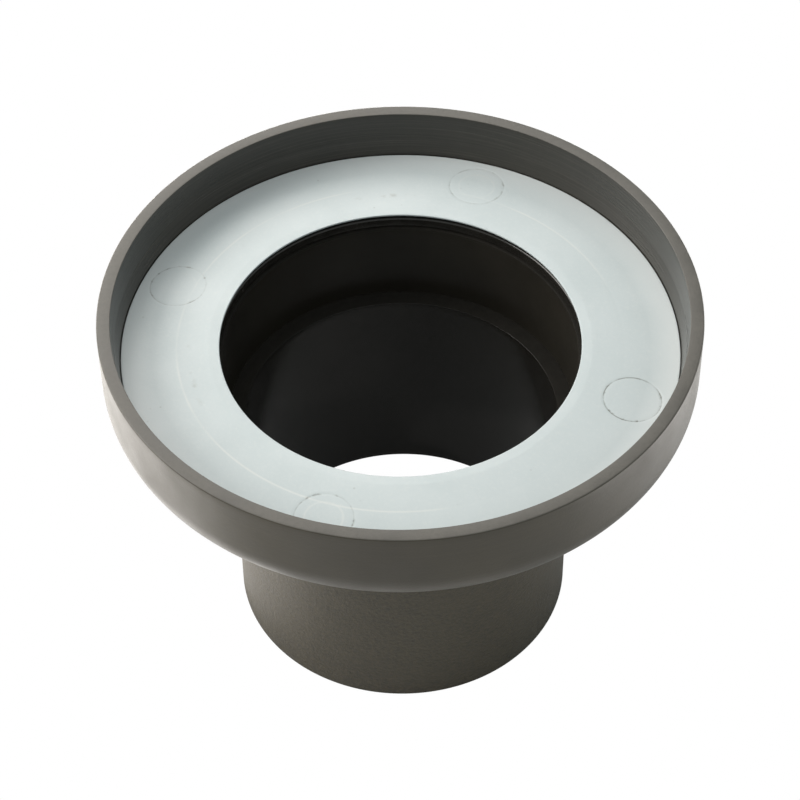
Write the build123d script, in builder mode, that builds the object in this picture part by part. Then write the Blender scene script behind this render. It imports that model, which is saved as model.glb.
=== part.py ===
from build123d import *
import os

# Toilet flange: a round cup on a short soil-pipe spigot. A soft seal ring stands on
# the cup's floor around the throat, and a pale pressure ring lies on the seal.
# Millimetres, +Z up, origin at the centre of the spigot's foot.

# Driving dimensions
HEIGHT = 120.0  # spigot foot to rim face
RIM_RADIUS = 89.0  # cup outside, 178 mm across
WALL = 4.0  # cup wall, floor and collar
CUP_DEPTH = 31.4  # rim face to the cup's underside
EDGE_RADIUS = 14.0  # cup's rounded outer bottom edge
RIM_EDGE = 0.5  # softened edges of the rim face

THROAT_RADIUS = 53.2
THROAT_FOOT_Z = 72.9  # shoulder that the spigot's sawn end makes
THROAT_TOP_Z = 100.6  # top of the tube that stands up inside the cup
THROAT_LEAD_IN = 0.6  # lead-in at the throat's mouth
COLLAR_FOOT_Z = 59.0  # lower end of the collar that holds the spigot
COLLAR_EDGE = 0.8
COLLAR_ROOT = 4.0  # fillet between collar and cup underside

SPIGOT_RADIUS = 52.1
REGISTER_RADIUS = 51.2  # the spigot's upper end is turned down to fit the collar
BORE_RADIUS = 48.0
SPIGOT_EDGE = 0.5  # broken edge at the foot

WALL_BREAK_Z = 110.5  # where the cup's inner wall turns in towards the seat
WALL_BREAK_RADIUS = 84.4
SEAT_RADIUS = 83.3  # the pressure ring turns inside this with a small gap
SEAT_TOP_Z = 105.0
CORNER_RADIUS = 7.4  # inside corner between cup wall and floor

RING_TOP_Z = 106.1  # flat top around the hole
RING_EDGE_Z = 104.6  # top of the outer edge: the ring is slightly dished
RING_OUTER_RADIUS = 83.1
RING_INNER_RADIUS = 53.8
RING_THICKNESS = 2.4
RING_LIP_THICKNESS = 1.7  # the ring thins to this towards its hole
RING_LIP_BEVEL = 1.2  # cut away below the hole's edge, so the edge looks thin
RING_LIP_RADIUS = 57.0  # the thin lip ends here, and the dished part begins
RING_EDGE = 0.3
RIB_RADIUS = 66.5  # locating rib under the ring
RIB_WIDTH = 1.6
RIB_DEPTH = 3.1  # below the underside beside the lip
MARK_RADIUS = 8.5  # round ejector marks on the ring's top
MARK_PITCH_RADIUS = 71.6
MARK_COUNT = 4
MARK_DEPTH = 0.2
MARK_ANGLE = 70.0

SEAL_INNER_RADIUS = 54.0
SEAL_SKIRT_RADIUS = 57.5  # the seal hugs the throat tube's outside
SEAL_OUTER_RADIUS = 80.7
SEAL_CHAMFER = 6.4  # clears the cup's inside corner
SEAL_GAP = 0.2  # running gap between parts that lift off each other
GROOVE_GAP = 0.5  # gap around the ring's rib

# Derived dimensions
UNDERSIDE_Z = HEIGHT - CUP_DEPTH
FLOOR_Z = UNDERSIDE_Z + WALL
TUBE_OUTER_RADIUS = THROAT_RADIUS + WALL
CUP_INNER_RADIUS = RIM_RADIUS - WALL
CORNER_START_RADIUS = SEAT_RADIUS - CORNER_RADIUS
RING_UNDERSIDE_Z = RING_TOP_Z - RING_THICKNESS
RING_EDGE_UNDERSIDE_Z = RING_EDGE_Z - RING_THICKNESS
LIP_UNDERSIDE_Z = RING_TOP_Z - RING_LIP_THICKNESS
LIP_STEP = RING_THICKNESS - RING_LIP_THICKNESS
SEAL_TOP_Z = RING_UNDERSIDE_Z - SEAL_GAP
SEAL_EDGE_Z = RING_EDGE_UNDERSIDE_Z - SEAL_GAP
SEAL_LIP_TOP_Z = LIP_UNDERSIDE_Z - SEAL_GAP
SEAL_LIP_FOOT_Z = THROAT_TOP_Z + SEAL_GAP
SEAL_FOOT_Z = FLOOR_Z + SEAL_GAP

os.makedirs("parts", exist_ok=True)

# Flange cup: cup, throat tube and collar in one moulding
with BuildPart() as flange_cup:
    with BuildSketch(Plane.XZ):
        with BuildLine():
            # outside, from the collar's foot up to the rim
            collar = Polyline(
                (REGISTER_RADIUS, COLLAR_FOOT_Z),
                (TUBE_OUTER_RADIUS - COLLAR_EDGE, COLLAR_FOOT_Z),
                (TUBE_OUTER_RADIUS, COLLAR_FOOT_Z + COLLAR_EDGE),
                (TUBE_OUTER_RADIUS, UNDERSIDE_Z - COLLAR_ROOT),
            )
            root = RadiusArc(
                collar @ 1,
                (TUBE_OUTER_RADIUS + COLLAR_ROOT, UNDERSIDE_Z),
                COLLAR_ROOT,
            )
            underside = Line(root @ 1, (RIM_RADIUS - EDGE_RADIUS, UNDERSIDE_Z))
            bottom_edge = RadiusArc(
                underside @ 1,
                (RIM_RADIUS, UNDERSIDE_Z + EDGE_RADIUS),
                -EDGE_RADIUS,
            )
            # inside, from the rim down the cup's wall to its floor
            cup_wall = Polyline(
                bottom_edge @ 1,
                (RIM_RADIUS, HEIGHT),
                (CUP_INNER_RADIUS, HEIGHT),
                (WALL_BREAK_RADIUS, WALL_BREAK_Z),
                (SEAT_RADIUS, SEAT_TOP_Z),
                (SEAT_RADIUS, FLOOR_Z + CORNER_RADIUS),
            )
            corner = RadiusArc(
                cup_wall @ 1,
                (CORNER_START_RADIUS, FLOOR_Z),
                CORNER_RADIUS,
            )
            # up the throat tube, down the throat, and back down the collar's socket
            Polyline(
                corner @ 1,
                (TUBE_OUTER_RADIUS, FLOOR_Z),
                (TUBE_OUTER_RADIUS, THROAT_TOP_Z),
                (THROAT_RADIUS + THROAT_LEAD_IN, THROAT_TOP_Z),
                (THROAT_RADIUS, THROAT_TOP_Z - THROAT_LEAD_IN),
                (THROAT_RADIUS, THROAT_FOOT_Z),
                (REGISTER_RADIUS, THROAT_FOOT_Z),
                (REGISTER_RADIUS, COLLAR_FOOT_Z),
            )
        make_face()
    revolve(axis=Axis.Z)
    rim_edges = flange_cup.edges().filter_by(GeomType.CIRCLE).group_by(Axis.Z)[-1]
    fillet(rim_edges, RIM_EDGE)

# Spigot: a straight length of pipe, sawn square. Its turned-down upper end is welded
# into the collar, and its shoulder meets the collar's foot.
with BuildPart() as spigot_pipe:
    with BuildSketch(Plane.XY):
        Circle(SPIGOT_RADIUS)
    extrude(amount=COLLAR_FOOT_Z)
    with BuildSketch(Plane.XY.offset(COLLAR_FOOT_Z)):
        Circle(REGISTER_RADIUS)
    extrude(amount=THROAT_FOOT_Z - COLLAR_FOOT_Z)
    Hole(BORE_RADIUS)
    foot_edges = spigot_pipe.edges().filter_by(GeomType.CIRCLE).group_by(Axis.Z)[0]
    chamfer(foot_edges, SPIGOT_EDGE)

# Seal ring: fills the cup's floor and laps over the top of the throat tube
with BuildPart() as seal_ring:
    with BuildSketch(Plane.XZ):
        with BuildLine():
            Polyline(
                (SEAL_INNER_RADIUS, SEAL_LIP_FOOT_Z),
                (SEAL_SKIRT_RADIUS, SEAL_LIP_FOOT_Z),
                (SEAL_SKIRT_RADIUS, SEAL_FOOT_Z),
                (SEAL_OUTER_RADIUS - SEAL_CHAMFER, SEAL_FOOT_Z),
                (SEAL_OUTER_RADIUS, SEAL_FOOT_Z + SEAL_CHAMFER),
                (SEAL_OUTER_RADIUS, SEAL_EDGE_Z),
                (RING_LIP_RADIUS + LIP_STEP - SEAL_GAP, SEAL_TOP_Z),
                (RING_LIP_RADIUS - SEAL_GAP, SEAL_LIP_TOP_Z),
                (SEAL_INNER_RADIUS, SEAL_LIP_TOP_Z),
                close=True,
            )
        make_face()
    revolve(axis=Axis.Z)
    # groove that the ring's rib stands in
    with BuildSketch(Plane.XY.offset(SEAL_TOP_Z)):
        Circle(RIB_RADIUS + RIB_WIDTH / 2 + GROOVE_GAP)
        Circle(RIB_RADIUS - RIB_WIDTH / 2 - GROOVE_GAP, mode=Mode.SUBTRACT)
    extrude(amount=-(RIB_DEPTH + GROOVE_GAP), mode=Mode.SUBTRACT)

# Pressure ring: slightly dished plate with a thin inner lip, a rib below and round
# marks on top. The skin that the marks are cut from is made first, then the plate.
with BuildPart() as pressure_ring:
    with BuildSketch(Plane.XZ):
        with BuildLine():
            Polyline(
                (RING_INNER_RADIUS, RING_TOP_Z - MARK_DEPTH),
                (RING_LIP_RADIUS, RING_TOP_Z - MARK_DEPTH),
                (RING_OUTER_RADIUS, RING_EDGE_Z - MARK_DEPTH),
                (RING_OUTER_RADIUS, RING_EDGE_Z),
                (RING_LIP_RADIUS, RING_TOP_Z),
                (RING_INNER_RADIUS, RING_TOP_Z),
                close=True,
            )
        make_face()
    revolve(axis=Axis.Z)
    with BuildSketch(Plane.XY.offset(RING_TOP_Z)):
        with PolarLocations(MARK_PITCH_RADIUS, MARK_COUNT, start_angle=MARK_ANGLE):
            Circle(MARK_RADIUS)
    extrude(amount=-RING_THICKNESS, mode=Mode.SUBTRACT)
    with BuildSketch(Plane.XZ):
        with BuildLine():
            Polyline(
                (RING_INNER_RADIUS, LIP_UNDERSIDE_Z + RING_LIP_BEVEL),
                (RING_INNER_RADIUS + RING_LIP_BEVEL, LIP_UNDERSIDE_Z),
                (RING_LIP_RADIUS, LIP_UNDERSIDE_Z),
                (RING_LIP_RADIUS + LIP_STEP, RING_UNDERSIDE_Z),
                (RING_OUTER_RADIUS, RING_EDGE_UNDERSIDE_Z),
                (RING_OUTER_RADIUS, RING_EDGE_Z - MARK_DEPTH),
                (RING_LIP_RADIUS, RING_TOP_Z - MARK_DEPTH),
                (RING_INNER_RADIUS, RING_TOP_Z - MARK_DEPTH),
                close=True,
            )
        make_face()
    revolve(axis=Axis.Z)
    with BuildSketch(Plane.XY.offset(RING_UNDERSIDE_Z)):
        Circle(RIB_RADIUS + RIB_WIDTH / 2)
        Circle(RIB_RADIUS - RIB_WIDTH / 2, mode=Mode.SUBTRACT)
    extrude(amount=-RIB_DEPTH)
    circles = pressure_ring.edges().filter_by(GeomType.CIRCLE).group_by(SortBy.RADIUS)
    hole_edge = circles[0].sort_by(Axis.Z)[-1]
    outer_edge = circles[-1].sort_by(Axis.Z)[-1]
    fillet([hole_edge, outer_edge], RING_EDGE)

flange_cup.part.label = "flange_cup"
export_step(flange_cup.part, "parts/flange_cup.step")

spigot_pipe.part.label = "spigot_pipe"
export_step(spigot_pipe.part, "parts/spigot_pipe.step")

seal_ring.part.label = "seal_ring"
export_step(seal_ring.part, "parts/seal_ring.step")

pressure_ring.part.label = "pressure_ring"
export_step(pressure_ring.part, "parts/pressure_ring.step")
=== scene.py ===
import math

import bpy
import numpy as np
from mathutils import Matrix, Vector


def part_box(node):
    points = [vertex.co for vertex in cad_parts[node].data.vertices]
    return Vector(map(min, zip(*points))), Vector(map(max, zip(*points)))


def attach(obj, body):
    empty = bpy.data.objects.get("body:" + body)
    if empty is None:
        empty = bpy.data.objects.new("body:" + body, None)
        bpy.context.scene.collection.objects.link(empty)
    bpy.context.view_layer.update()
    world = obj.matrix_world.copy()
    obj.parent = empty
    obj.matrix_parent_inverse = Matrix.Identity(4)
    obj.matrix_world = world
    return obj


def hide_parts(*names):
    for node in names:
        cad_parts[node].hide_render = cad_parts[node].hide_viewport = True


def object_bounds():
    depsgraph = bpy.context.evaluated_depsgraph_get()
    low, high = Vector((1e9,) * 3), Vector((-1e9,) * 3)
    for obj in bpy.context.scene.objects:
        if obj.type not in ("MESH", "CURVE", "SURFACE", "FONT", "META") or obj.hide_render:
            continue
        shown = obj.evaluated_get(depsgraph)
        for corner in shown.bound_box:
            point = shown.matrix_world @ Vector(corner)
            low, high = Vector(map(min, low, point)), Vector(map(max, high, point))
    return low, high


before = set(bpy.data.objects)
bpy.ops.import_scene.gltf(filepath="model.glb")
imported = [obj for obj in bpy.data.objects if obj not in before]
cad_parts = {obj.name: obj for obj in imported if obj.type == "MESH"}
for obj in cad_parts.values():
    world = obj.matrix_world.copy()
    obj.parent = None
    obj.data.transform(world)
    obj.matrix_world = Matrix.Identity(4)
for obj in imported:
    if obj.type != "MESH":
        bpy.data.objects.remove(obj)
cad_low, cad_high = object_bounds()

MM = 0.001
SHARP_ANGLE = math.radians(32)  # edges turned further than this stay sharp

# ---------------------------------------------------------------- sizes, in millimetres
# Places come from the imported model; the rest are wall thicknesses, steps and roundings.


def top_of(node):
    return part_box(node)[1].z / MM


def foot_of(node):
    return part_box(node)[0].z / MM


def radius_of(node):
    low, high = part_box(node)
    return (high.y - low.y) / 2 / MM


RIM_Z = top_of("flange_cup")
RIM_R = radius_of("flange_cup")
COLLAR_Z = foot_of("flange_cup")
SPIGOT_R = radius_of("spigot_pipe")
SPIGOT_TOP_Z = top_of("spigot_pipe")
RING_R = radius_of("pressure_ring")
RING_Z = top_of("pressure_ring")
RING_RIB_Z = foot_of("pressure_ring")
SEAL_R = radius_of("seal_ring")
SEAL_TOP_Z = top_of("seal_ring")
SEAL_FOOT_Z = foot_of("seal_ring")

WALL = 4.0
CUP_DEPTH = 31.4
UNDERSIDE_Z = RIM_Z - CUP_DEPTH
FLOOR_Z = UNDERSIDE_Z + WALL
EDGE_ROUND = 14.0
THROAT_R = 53.2
THROAT_TOP_Z = 100.6
TUBE_R = THROAT_R + WALL
REGISTER_R = 51.2
BORE_R = 48.0
WALL_BREAK_R = 84.4
WALL_BREAK_Z = 110.5
SEAT_R = 83.3
SEAT_Z = 105.0
CORNER_ROUND = 7.4

RING_HOLE_R = 53.8
RING_THICK = 2.4
RING_EDGE_Z = 104.6
LIP_THICK = 1.7
LIP_BEVEL = 1.2
LIP_R = 57.0
RIB_R = 66.5
RIB_HALF = 0.8
MARK_R = 8.5
MARK_PITCH_R = 71.6
MARKS = [(70, 0.40), (160, 0.45), (252, 0.45), (340, 0.85)]  # angle in degrees, dirt
SEAL_HOLE_R = 54.0
SEAL_SKIRT_R = 57.5
SEAL_CHAMFER = 6.4
SEAL_STEP = RING_THICK - LIP_THICK
RING_GAP = 0.2  # between parts that lift off each other
GROOVE_GAP = 0.5  # round the ring's rib
GROOVE_DEPTH = 3.6


# Soft lights round the object: name, azimuth, elevation, distance, size, power.
# Angles in degrees, lengths in metres, power in watts.
# Azimuth 0 is the camera's side, 90 the right, 180 behind.
LIGHTS = [
    ("back", 194, 38, 1.4, 0.8, 7.4),
    ("back_left", 232, 44, 1.4, 0.9, 5.6),
    ("top", 0, 88, 1.4, 1.0, 1.2),
    ("left", 263, 30, 1.2, 0.8, 11.8),
]
# Glowing boards lying on the table: name, x, y, width, depth (metres), power (watts).
# The small ones stand in for light that comes up the bore.
BOARDS = [
    ("board_left", -0.34, 0.12, 0.48, 0.40, 1.12),
    ("board_near", -0.097, 0.03, 0.086, 0.20, 0.045),
    ("board_back_left", -0.24, 0.46, 0.50, 0.26, 6.0),
    ("board_back_right", 0.28, 0.38, 0.50, 0.36, 2.5),
    ("board_right", 0.38, 0.02, 0.44, 0.40, 0.92),
    ("board_under", 0.022, 0.022, 0.040, 0.042, 0.00022),
    ("board_under_small", 0.024, 0.020, 0.022, 0.026, 0.00018),
]
LIGHT_COLOR = (1.0, 0.955, 0.91)
WORLD_COLOR = (0.95, 1.0, 1.0, 1.0)
WORLD_LEVEL = 0.59

# The stage lies under the object: the table just below it, the backdrop below that.
STAGE_HALF = 6.0
TABLE_GAP = 0.0002
BACKDROP_GAP = 0.0004
BOARD_LIFT = 0.001


# ---------------------------------------------------------------- mesh helpers

ARC_PIECES = 6  # least number of pieces in a rounding
ARC_STEP = 0.8  # longest piece of a large rounding, in millimetres


def rounded(corners):
    """Closed outline from (radius, height, rounding) corners, each corner turned by an arc."""
    points = []
    count = len(corners)
    for i, (x, y, rounding) in enumerate(corners):
        here = np.array([x, y], float)
        before = np.array(corners[i - 1][:2], float) - here
        after = np.array(corners[(i + 1) % count][:2], float) - here
        before /= np.linalg.norm(before)
        after /= np.linalg.norm(after)
        angle = math.acos(float(np.clip(before @ after, -1, 1)))
        if rounding <= 0 or abs(math.pi - angle) < 1e-3:
            points.append(here)
            continue
        reach = rounding / math.tan(angle / 2)
        start, end = here + before * reach, here + after * reach
        inward = (before + after) / np.linalg.norm(before + after)
        centre = here + inward * (rounding / math.sin(angle / 2))
        a0 = math.atan2(*(start - centre)[::-1])
        turn = math.atan2(*(end - centre)[::-1]) - a0
        turn = (turn + math.pi) % (2 * math.pi) - math.pi
        pieces = max(ARC_PIECES, int(abs(turn) * rounding / ARC_STEP))
        for k in range(pieces + 1):
            a = a0 + turn * k / pieces
            points.append(centre + rounding * np.array([math.cos(a), math.sin(a)]))
    return np.array(points)


def divided(outline, longest):
    """The outline with its long straight runs cut into pieces no longer than longest."""
    points = []
    for i, point in enumerate(outline):
        after = outline[(i + 1) % len(outline)]
        pieces = max(1, math.ceil(np.linalg.norm(after - point) / longest))
        for k in range(pieces):
            points.append(point + (after - point) * k / pieces)
    return np.array(points)


def lathe(name, outline, turns=384, shape=None):
    """Mesh object made by turning a closed outline (millimetres) about Z; shape moves the points."""
    n = len(outline)
    angle = np.linspace(0, 2 * math.pi, turns, endpoint=False)
    radius = np.repeat(outline[None, :, 0], turns, 0)
    height = np.repeat(outline[None, :, 1], turns, 0)
    around = np.repeat(angle[:, None], n, 1)
    if shape is not None:
        radius, height = shape(radius, height, around)
    verts = np.stack([radius * np.cos(around), radius * np.sin(around), height], -1)
    verts = (verts * MM).reshape(-1, 3)
    i, j = np.meshgrid(np.arange(turns), np.arange(n), indexing="ij")
    i2, j2 = (i + 1) % turns, (j + 1) % n
    quads = np.stack([i * n + j, i2 * n + j, i2 * n + j2, i * n + j2], -1).reshape(-1, 4)
    after = np.roll(outline, -1, axis=0)
    twice_area = np.sum(outline[:, 0] * after[:, 1] - after[:, 0] * outline[:, 1])
    if twice_area < 0:
        quads = quads[:, ::-1]
    mesh = bpy.data.meshes.new(name)
    mesh.from_pydata(verts.tolist(), [], quads.tolist())
    mesh.shade_smooth()
    mesh.set_sharp_from_angle(angle=SHARP_ANGLE)
    mesh.update()
    piece = bpy.data.objects.new(name, mesh)
    bpy.context.scene.collection.objects.link(piece)
    return piece


# ---------------------------------------------------------------- material helpers


class Nodes:
    """Short names for the nodes of one material."""

    def __init__(self, name):
        self.material = bpy.data.materials.new(name)
        self.material.use_nodes = True
        self.tree = self.material.node_tree
        self.shader = self.tree.nodes["Principled BSDF"]
        self.place = self.tree.nodes.new("ShaderNodeTexCoord").outputs["Object"]

    def link(self, value, socket):
        if isinstance(value, bpy.types.NodeSocket):
            self.tree.links.new(value, socket)
        else:
            socket.default_value = value

    def stretched(self, x, y, z):
        node = self.tree.nodes.new("ShaderNodeMapping")
        self.link(self.place, node.inputs["Vector"])
        node.inputs["Scale"].default_value = (x, y, z)
        return node.outputs["Vector"]

    def noise(self, scale, detail=4.0, rough=0.5, vector=None):
        node = self.tree.nodes.new("ShaderNodeTexNoise")
        self.link(vector or self.place, node.inputs["Vector"])
        node.inputs["Scale"].default_value = scale
        node.inputs["Detail"].default_value = detail
        node.inputs["Roughness"].default_value = rough
        return node.outputs["Fac"]

    def speckle(self, scale):
        node = self.tree.nodes.new("ShaderNodeTexVoronoi")
        self.link(self.place, node.inputs["Vector"])
        node.inputs["Scale"].default_value = scale
        return node.outputs["Distance"]

    def ranged(self, value, low, high, out_low=0.0, out_high=1.0):
        node = self.tree.nodes.new("ShaderNodeMapRange")
        self.link(value, node.inputs["Value"])
        node.inputs["From Min"].default_value = low
        node.inputs["From Max"].default_value = high
        node.inputs["To Min"].default_value = out_low
        node.inputs["To Max"].default_value = out_high
        return node.outputs["Result"]

    def band(self, value, centre, half):
        """1 where the value is at the centre, falling to 0 at half either side."""
        away = self.math("ABSOLUTE", self.math("SUBTRACT", value, centre))
        return self.ranged(away, 0.0, half, 1.0, 0.0)

    def distance(self, x, y):
        """Distance across the plane of the ring from the point x, y (millimetres)."""
        flat = self.tree.nodes.new("ShaderNodeVectorMath")
        flat.operation = "MULTIPLY"
        self.link(self.place, flat.inputs[0])
        flat.inputs[1].default_value = (1, 1, 0)
        gap = self.tree.nodes.new("ShaderNodeVectorMath")
        gap.operation = "DISTANCE"
        self.link(flat.outputs["Vector"], gap.inputs[0])
        gap.inputs[1].default_value = (x * MM, y * MM, 0)
        return gap.outputs["Value"]

    def math(self, kind, a, b=0.0):
        node = self.tree.nodes.new("ShaderNodeMath")
        node.operation = kind
        self.link(a, node.inputs[0])
        self.link(b, node.inputs[1])
        return node.outputs["Value"]

    def mix(self, factor, a, b):
        node = self.tree.nodes.new("ShaderNodeMix")
        node.data_type = "RGBA"
        self.link(factor, node.inputs["Factor"])
        self.link(a, node.inputs["A"])
        self.link(b, node.inputs["B"])
        return node.outputs["Result"]

    def bump(self, height, depth, normal=None):
        node = self.tree.nodes.new("ShaderNodeBump")
        node.inputs["Distance"].default_value = depth
        self.link(height, node.inputs["Height"])
        if normal is not None:
            self.link(normal, node.inputs["Normal"])
        return node.outputs["Normal"]

    def finish(self, color, roughness, normal=None, specular=0.5):
        self.link(color, self.shader.inputs["Base Color"])
        self.link(roughness, self.shader.inputs["Roughness"])
        self.shader.inputs["Specular IOR Level"].default_value = specular
        if normal is not None:
            self.link(normal, self.shader.inputs["Normal"])
        return self.material


def grey(level, warm=0.0):
    """Linear colour of that level, warmed a little towards yellow."""
    return (level * (1 + warm), level, level * (1 - 2 * warm), 1.0)


def polar(radius, degrees):
    return radius * math.cos(math.radians(degrees)), radius * math.sin(math.radians(degrees))


# ---------------------------------------------------------------- materials


def cup_material():
    m = Nodes("cup_plastic")
    cloud = m.noise(22.0, 5.0, 0.55)
    grain = m.noise(1400.0, 3.0, 0.6)
    lines = m.noise(1.0, 4.0, 0.75, m.stretched(10.0, 10.0, 1500.0))
    color = m.mix(m.ranged(cloud, 0.35, 0.65), grey(0.020, 0.26), grey(0.028, 0.26))
    color = m.mix(m.ranged(lines, 0.45, 0.75, 0.0, 0.25), color, grey(0.042, 0.24))
    rough = m.ranged(m.noise(60.0, 6.0, 0.6), 0.3, 0.7, 0.33, 0.45)
    normal = m.bump(grain, 0.00004)
    normal = m.bump(lines, 0.00001, normal)
    return m.finish(color, rough, normal)


def wall_material():
    """Inside of the cup: turned smooth, with fine lines running round it."""
    m = Nodes("cup_wall")
    cloud = m.noise(30.0, 5.0, 0.6)
    lines = m.noise(1.0, 4.0, 0.75, m.stretched(14.0, 14.0, 1800.0))
    color = m.mix(m.ranged(cloud, 0.3, 0.7), grey(0.022, 0.10), grey(0.031, 0.10))
    color = m.mix(m.ranged(lines, 0.48, 0.72, 0.0, 0.7), color, grey(0.054, 0.10))
    rough = m.ranged(lines, 0.3, 0.7, 0.18, 0.28)
    normal = m.bump(lines, 0.00003, m.bump(m.noise(1400.0, 3.0, 0.6), 0.00002))
    return m.finish(color, rough, normal)


def rim_material():
    m = Nodes("cup_rim_painted_light")
    cloud = m.noise(90.0, 6.0, 0.6)
    fine = m.noise(700.0, 4.0, 0.7)
    # painted light: the rim's top face is painted lighter and less warm than the cup's plastic, for
    # the light that falls on the face turned up
    color = m.mix(m.ranged(cloud, 0.3, 0.7), grey(0.066, 0.07), grey(0.094, 0.07))
    color = m.mix(m.ranged(fine, 0.45, 0.75, 0.0, 0.4), color, grey(0.05, 0.07))
    rough = m.ranged(cloud, 0.3, 0.7, 0.38, 0.5)
    normal = m.bump(m.noise(1600.0, 3.0, 0.6), 0.00005)
    return m.finish(color, rough, normal)


def throat_material():
    m = Nodes("cup_throat")
    cloud = m.noise(40.0, 5.0, 0.6)
    color = m.mix(m.ranged(cloud, 0.3, 0.7), grey(0.014, 0.12), grey(0.021, 0.12))
    rough = m.ranged(m.noise(70.0, 5.0, 0.6), 0.3, 0.7, 0.34, 0.44)
    normal = m.bump(m.noise(260.0, 2.0, 0.5), 0.00001)
    return m.finish(color, rough, normal)


def pipe_material():
    m = Nodes("pipe_plastic")
    mottle = m.noise(950.0, 4.0, 0.75)
    cloud = m.noise(45.0, 4.0, 0.6)
    color = m.mix(m.ranged(mottle, 0.35, 0.65), grey(0.017, 0.20), grey(0.053, 0.20))
    color = m.mix(m.ranged(cloud, 0.35, 0.7, 0.0, 0.35), color, grey(0.050, 0.20))
    rough = m.ranged(mottle, 0.3, 0.7, 0.46, 0.6)
    normal = m.bump(m.noise(800.0, 4.0, 0.7), 0.00035)
    return m.finish(color, rough, normal)


def bore_material():
    m = Nodes("pipe_bore")
    cloud = m.noise(30.0, 5.0, 0.6)
    color = m.mix(m.ranged(cloud, 0.3, 0.7), grey(0.010, 0.10), grey(0.016, 0.10))
    rough = m.ranged(m.noise(50.0, 5.0, 0.6), 0.3, 0.7, 0.19, 0.26)
    normal = m.bump(m.noise(500.0, 4.0, 0.6), 0.00002)
    return m.finish(color, rough, normal)


def sawn_material():
    """The pipe's upper end and the ledge it meets: rough and dull."""
    m = Nodes("sawn_end")
    cloud = m.noise(500.0, 4.0, 0.7)
    color = m.mix(m.ranged(cloud, 0.3, 0.7), grey(0.012, 0.08), grey(0.018, 0.08))
    rough = m.ranged(cloud, 0.3, 0.7, 0.7, 0.85)
    return m.finish(color, rough, m.bump(cloud, 0.0001), specular=0.1)


def seal_material():
    m = Nodes("seal_rubber")
    cloud = m.noise(150.0, 5.0, 0.6)
    color = m.mix(m.ranged(cloud, 0.3, 0.7), grey(0.012, 0.08), grey(0.020, 0.08))
    rough = m.ranged(cloud, 0.3, 0.7, 0.18, 0.28)
    normal = m.bump(m.noise(1500.0, 3.0, 0.6), 0.00002)
    return m.finish(color, rough, normal)


def ring_material():
    m = Nodes("ring_plastic")
    cloud = m.noise(35.0, 6.0, 0.6)
    grain = m.noise(900.0, 4.0, 0.7)
    pale = (0.495, 0.545, 0.552, 1.0)
    dull = (0.450, 0.505, 0.512, 1.0)
    light = (0.600, 0.620, 0.600, 1.0)
    grime = (0.110, 0.110, 0.090, 1.0)
    color = m.mix(m.ranged(cloud, 0.3, 0.7), pale, dull)
    color = m.mix(m.ranged(grain, 0.5, 0.8, 0.0, 0.3), color, light)
    from_axis = m.distance(0, 0)

    # painted light: a little lighter towards the outer edge, lifting the shade that the wall casts
    # on the ring
    outer = m.ranged(from_axis, 74.0 * MM, 82.0 * MM, 0.0, 0.8)
    color = m.mix(outer, color, (0.66, 0.70, 0.70, 1.0))

    # thin pale line over the rib, seen only in stretches
    stretches = m.ranged(m.noise(16.0, 3.0), 0.44, 0.56)
    line = m.math("MULTIPLY", m.band(from_axis, RIB_R * MM, 0.5 * MM), stretches)
    color = m.mix(m.math("MULTIPLY", line, 0.7), color, light)

    # dark outlines of the round marks, broken up and dotted with dirt
    broken = m.ranged(m.noise(210.0, 4.0, 0.7), 0.40, 0.60, 0.15, 1.0)
    dots = m.ranged(m.noise(420.0, 2.0), 0.60, 0.68)
    for degrees, dirt in MARKS:
        away = m.distance(*polar(MARK_PITCH_R, degrees))
        thin = m.math("MULTIPLY", m.band(away, MARK_R * MM, 0.30 * MM), broken)
        wide = m.math("MULTIPLY", m.band(away, MARK_R * MM, 0.60 * MM), dots)
        color = m.mix(m.math("MULTIPLY", thin, dirt), color, grime)
        color = m.mix(m.math("MULTIPLY", wide, dirt), color, grime)
        # painted highlight: a pale inner ring in each mark, in stretches, standing in for glints
        mark_glint = m.math("MULTIPLY", m.band(away, 0.65 * MARK_R * MM, 0.5 * MM), stretches)
        color = m.mix(m.math("MULTIPLY", mark_glint, 0.45), color, light)

    # scuffs in a band round the ring, and a few specks
    streaks = m.ranged(m.noise(1.0, 3.0, 0.6, m.stretched(190.0, 190.0, 190.0)), 0.54, 0.66)
    patches = m.ranged(m.noise(28.0, 2.0), 0.56, 0.64)
    scuffed = m.math("MULTIPLY", streaks, patches)
    scuffed = m.math("MULTIPLY", scuffed, m.band(from_axis, 63.0 * MM, 1.2 * MM))
    color = m.mix(m.math("MULTIPLY", scuffed, 0.55), color, (0.30, 0.31, 0.29, 1.0))
    specks = m.ranged(m.speckle(330.0), 0.05, 0.16, 1.0, 0.0)
    sparse = m.ranged(m.noise(60.0, 2.0), 0.60, 0.68, 0.0, 0.5)
    color = m.mix(m.math("MULTIPLY", specks, sparse), color, (0.25, 0.26, 0.25, 1.0))

    rough = m.ranged(cloud, 0.3, 0.7, 0.38, 0.5)
    normal = m.bump(grain, 0.00003)
    return m.finish(color, rough, normal)


# ---------------------------------------------------------------- pieces


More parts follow.
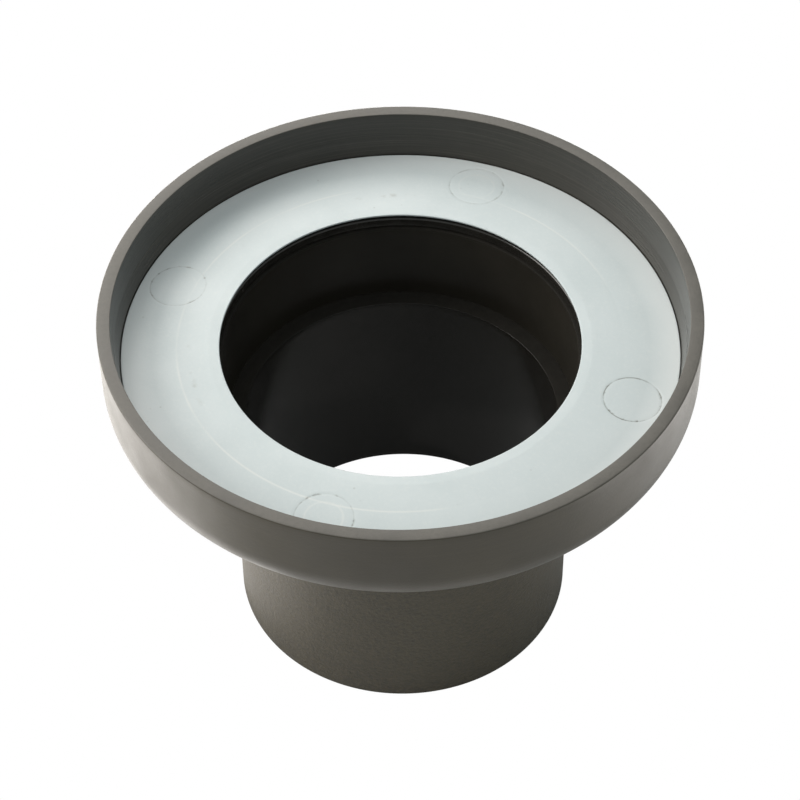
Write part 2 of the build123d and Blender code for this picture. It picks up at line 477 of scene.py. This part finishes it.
def make_cup(sawn):
    corners = [
        (REGISTER_R, COLLAR_Z, 0.0),
        (TUBE_R, COLLAR_Z, 1.0),
        (TUBE_R, UNDERSIDE_Z, 4.0),
        (RIM_R, UNDERSIDE_Z, EDGE_ROUND),
        (RIM_R, RIM_Z, 0.5),
        (RIM_R - WALL, RIM_Z, 0.2),
        (WALL_BREAK_R, WALL_BREAK_Z, 0.4),
        (SEAT_R, SEAT_Z, 0.3),
        (SEAT_R, FLOOR_Z, CORNER_ROUND),
        (TUBE_R, FLOOR_Z, 0.8),
        (TUBE_R, THROAT_TOP_Z, 0.3),
        (THROAT_R, THROAT_TOP_Z, 0.25),
        (THROAT_R, SPIGOT_TOP_Z, 0.0),
        (REGISTER_R, SPIGOT_TOP_Z, 0.0),
    ]
    cup = lathe("cup_body", divided(rounded(corners), 2.5), 512)
    cup.data.materials.append(cup_material())
    cup.data.materials.append(rim_material())
    cup.data.materials.append(throat_material())
    cup.data.materials.append(sawn)
    cup.data.materials.append(wall_material())
    for face in cup.data.polygons:
        radius = math.hypot(face.center.x, face.center.y)
        # the rim's top face takes the rim material, which is painted light
        if face.center.z > (RIM_Z - 0.12) * MM:
            face.material_index = 1
        elif radius < (SEAL_HOLE_R + 0.4) * MM:
            in_throat = (SPIGOT_TOP_Z + 0.1) * MM < face.center.z < (THROAT_TOP_Z - 0.3) * MM
            face.material_index = 2 if in_throat else 3
        elif face.center.z > FLOOR_Z * MM and radius < (RIM_R - WALL + 0.1) * MM:
            face.material_index = 4
    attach(cup, "flange")
    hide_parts("flange_cup")


def make_spigot(sawn):
    corners = [
        (BORE_R, 0.0, 0.5),
        (SPIGOT_R, 0.0, 0.5),
        (SPIGOT_R, COLLAR_Z, 0.4),
        (REGISTER_R, COLLAR_Z, 0.0),
        (REGISTER_R, SPIGOT_TOP_Z, 0.0),
        (BORE_R, SPIGOT_TOP_Z, 0.1),
    ]
    pipe = lathe("pipe_stub", divided(rounded(corners), 2.5), 384)
    pipe.data.materials.append(pipe_material())
    pipe.data.materials.append(bore_material())
    pipe.data.materials.append(sawn)
    for face in pipe.data.polygons:
        radius = math.hypot(face.center.x, face.center.y)
        if radius < (BORE_R + 0.05) * MM:
            face.material_index = 1
        elif face.center.z > (SPIGOT_TOP_Z - 0.4) * MM:
            face.material_index = 2
    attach(pipe, "flange")
    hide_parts("spigot_pipe")


def make_seal():
    shoulder_z = RING_Z - RING_THICK - RING_GAP
    edge_z = RING_EDGE_Z - RING_THICK - RING_GAP
    groove_foot_z = shoulder_z - GROOVE_DEPTH
    groove_out = RIB_R + RIB_HALF + GROOVE_GAP
    groove_in = RIB_R - RIB_HALF - GROOVE_GAP
    dished = (edge_z - shoulder_z) / (SEAL_R - LIP_R - SEAL_STEP + RING_GAP)
    corners = [
        (SEAL_HOLE_R, THROAT_TOP_Z + RING_GAP, 0.2),
        (SEAL_SKIRT_R, THROAT_TOP_Z + RING_GAP, 0.2),
        (SEAL_SKIRT_R, SEAL_FOOT_Z, 0.4),
        (SEAL_R - SEAL_CHAMFER, SEAL_FOOT_Z, 1.0),
        (SEAL_R, SEAL_FOOT_Z + SEAL_CHAMFER, 1.0),
        (SEAL_R, edge_z, 0.5),
        (groove_out, edge_z + dished * (groove_out - SEAL_R), 0.2),
        (groove_out, groove_foot_z, 0.3),
        (groove_in, groove_foot_z, 0.3),
        (groove_in, edge_z + dished * (groove_in - SEAL_R), 0.2),
        (LIP_R + SEAL_STEP - RING_GAP, shoulder_z, 0.0),
        (LIP_R - RING_GAP, SEAL_TOP_Z, 0.2),
        (SEAL_HOLE_R, SEAL_TOP_Z, 0.7),
    ]
    seal = lathe("seal", divided(rounded(corners), 3.0), 384)
    seal.data.materials.append(seal_material())
    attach(seal, "seal")
    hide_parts("seal_ring")


def ring_top(radius):
    """Height of the ring's top: flat round the hole, then falling to the outer edge."""
    return RING_Z - (RING_Z - RING_EDGE_Z) * np.clip((radius - LIP_R) / (RING_R - LIP_R), 0, 1)


def ring_relief(radius, height, around):
    """Sinks the round marks and the faint line over the rib into the ring's top."""
    top = np.clip((height - (ring_top(radius) - 0.5)) / 0.5, 0, 1)
    x, y = radius * np.cos(around), radius * np.sin(around)
    sink = 0.015 * np.exp(-(((radius - RIB_R) / 0.45) ** 2))
    for degrees, _ in MARKS:
        a = math.radians(degrees)
        away = np.hypot(x - MARK_PITCH_R * math.cos(a), y - MARK_PITCH_R * math.sin(a))
        sink = sink + 0.07 * np.exp(-(((away - MARK_R) / 0.30) ** 2))
        sink = sink + 0.01 * (1 - np.tanh((away - MARK_R) / 0.4))
    return radius, height - sink * top


def make_ring():
    lip_z = RING_Z - LIP_THICK
    plate_z = RING_Z - RING_THICK
    plate_edge_z = RING_EDGE_Z - RING_THICK
    rib_in, rib_out = RIB_R - RIB_HALF, RIB_R + RIB_HALF
    plate_in = LIP_R + RING_THICK - LIP_THICK
    dished = (plate_edge_z - plate_z) / (RING_R - plate_in)
    corners = [
        (RING_HOLE_R, lip_z + LIP_BEVEL, 0.1),
        (RING_HOLE_R + LIP_BEVEL, lip_z, 0.2),
        (LIP_R, lip_z, 0.2),
        (plate_in, plate_z, 0.2),
        (rib_in, plate_z + dished * (rib_in - plate_in), 0.3),
        (rib_in, RING_RIB_Z, 0.3),
        (rib_out, RING_RIB_Z, 0.3),
        (rib_out, plate_z + dished * (rib_out - plate_in), 0.3),
        (RING_R, plate_edge_z, 0.3),
        (RING_R, RING_EDGE_Z, 0.3),
        (LIP_R, RING_Z, 0.0),
        (RING_HOLE_R, RING_Z, 0.2),
    ]
    ring = lathe("ring_plate", divided(rounded(corners), 0.4), 1200, ring_relief)
    ring.data.materials.append(ring_material())
    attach(ring, "ring")
    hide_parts("pressure_ring")


# ---------------------------------------------------------------- floor, lights and camera


def flat_square(name, half, height):
    mesh = bpy.data.meshes.new(name)
    corners = [(-half, -half, 0), (half, -half, 0), (half, half, 0), (-half, half, 0)]
    mesh.from_pydata(corners, [], [(0, 1, 2, 3)])
    square = bpy.data.objects.new(name, mesh)
    square.location.z = height
    bpy.context.scene.collection.objects.link(square)
    return square


def make_backdrop():
    """White sheet that only the camera sees; from below it is clear."""
    backdrop = flat_square("backdrop", STAGE_HALF, cad_low.z - BACKDROP_GAP)
    material = bpy.data.materials.new("backdrop_white")
    material.use_nodes = True
    nodes, links = material.node_tree.nodes, material.node_tree.links
    nodes.remove(nodes["Principled BSDF"])
    glow = nodes.new("ShaderNodeEmission")
    glow.inputs["Color"].default_value = (1, 1, 1, 1)
    clear = nodes.new("ShaderNodeBsdfTransparent")
    side = nodes.new("ShaderNodeNewGeometry")
    both = nodes.new("ShaderNodeMixShader")
    links.new(side.outputs["Backfacing"], both.inputs["Fac"])
    links.new(glow.outputs["Emission"], both.inputs[1])
    links.new(clear.outputs["BSDF"], both.inputs[2])
    links.new(both.outputs["Shader"], nodes["Material Output"].inputs["Surface"])
    backdrop.data.materials.append(material)
    backdrop.visible_diffuse = False
    backdrop.visible_glossy = False
    backdrop.visible_shadow = False


def make_table():
    """Pale table that catches the light and throws it back on the object."""
    table = flat_square("table", STAGE_HALF, cad_low.z - TABLE_GAP)
    material = bpy.data.materials.new("table_white")
    material.use_nodes = True
    shader = material.node_tree.nodes["Principled BSDF"]
    shader.inputs["Base Color"].default_value = (0.85, 0.85, 0.85, 1)
    shader.inputs["Roughness"].default_value = 0.9
    shader.inputs["Specular IOR Level"].default_value = 0.2
    table.data.materials.append(material)
    table.visible_camera = False


def area_light(name, width, depth, power):
    data = bpy.data.lights.new(name, "AREA")
    data.shape = "RECTANGLE"
    data.size = width
    data.size_y = depth
    data.energy = power
    data.color = LIGHT_COLOR
    lamp = bpy.data.objects.new(name, data)
    lamp.visible_camera = False
    lamp.rotation_mode = "QUATERNION"
    bpy.context.scene.collection.objects.link(lamp)
    return lamp


def softbox(name, azimuth, elevation, distance, size, power):
    lamp = area_light(name, size, size, power)
    a, e = math.radians(azimuth), math.radians(elevation)
    away = Vector((math.sin(a) * math.cos(e), -math.cos(a) * math.cos(e), math.sin(e)))
    lamp.location = Vector((0, 0, RIM_Z * MM)) + away * distance
    lamp.rotation_quaternion = away.to_track_quat("Z", "Y")


def board(name, x, y, width, depth, power):
    lamp = area_light(name, width, depth, power)
    lamp.location = (x, y, cad_low.z + BOARD_LIFT)
    lamp.rotation_quaternion = Vector((0, 0, -1)).to_track_quat("Z", "Y")


def make_world():
    world = bpy.data.worlds.new("studio")
    world.use_nodes = True
    back = world.node_tree.nodes["Background"]
    back.inputs["Color"].default_value = WORLD_COLOR
    back.inputs["Strength"].default_value = WORLD_LEVEL
    bpy.context.scene.world = world


def make_camera():
    """Camera aimed near the rim's centre: its distance is in rim radii, its angles in degrees."""
    distance = 8.730 * RIM_R * MM
    aim = Vector((-0.35, 0, RIM_Z)) * MM
    elevation = math.radians(45.365)
    pitch = math.radians(-2.021)
    roll = math.radians(-0.679)
    data = bpy.data.cameras.new("camera")
    data.sensor_width = 36.0
    data.lens = 119.2
    camera = bpy.data.objects.new("camera", data)
    away = Vector((0, -math.cos(elevation), math.sin(elevation)))
    right = Vector((1, 0, 0))
    ahead = -away
    up = right.cross(ahead)
    ahead = ahead * math.cos(pitch) + up * math.sin(pitch)
    up = right.cross(ahead)
    tilted_right = right * math.cos(roll) + up * math.sin(roll)
    tilted_up = up * math.cos(roll) - right * math.sin(roll)
    turn = Matrix((tilted_right, tilted_up, -ahead)).transposed()
    camera.matrix_world = Matrix.Translation(aim + away * distance) @ turn.to_4x4()
    bpy.context.scene.collection.objects.link(camera)
    bpy.context.scene.camera = camera


sawn_plastic = sawn_material()
make_cup(sawn_plastic)
make_spigot(sawn_plastic)
make_seal()
make_ring()
make_backdrop()
make_table()
make_world()
for light in LIGHTS:
    softbox(*light)
for light in BOARDS:
    board(*light)
make_camera()
bpy.context.scene.view_settings.view_transform = "Standard"
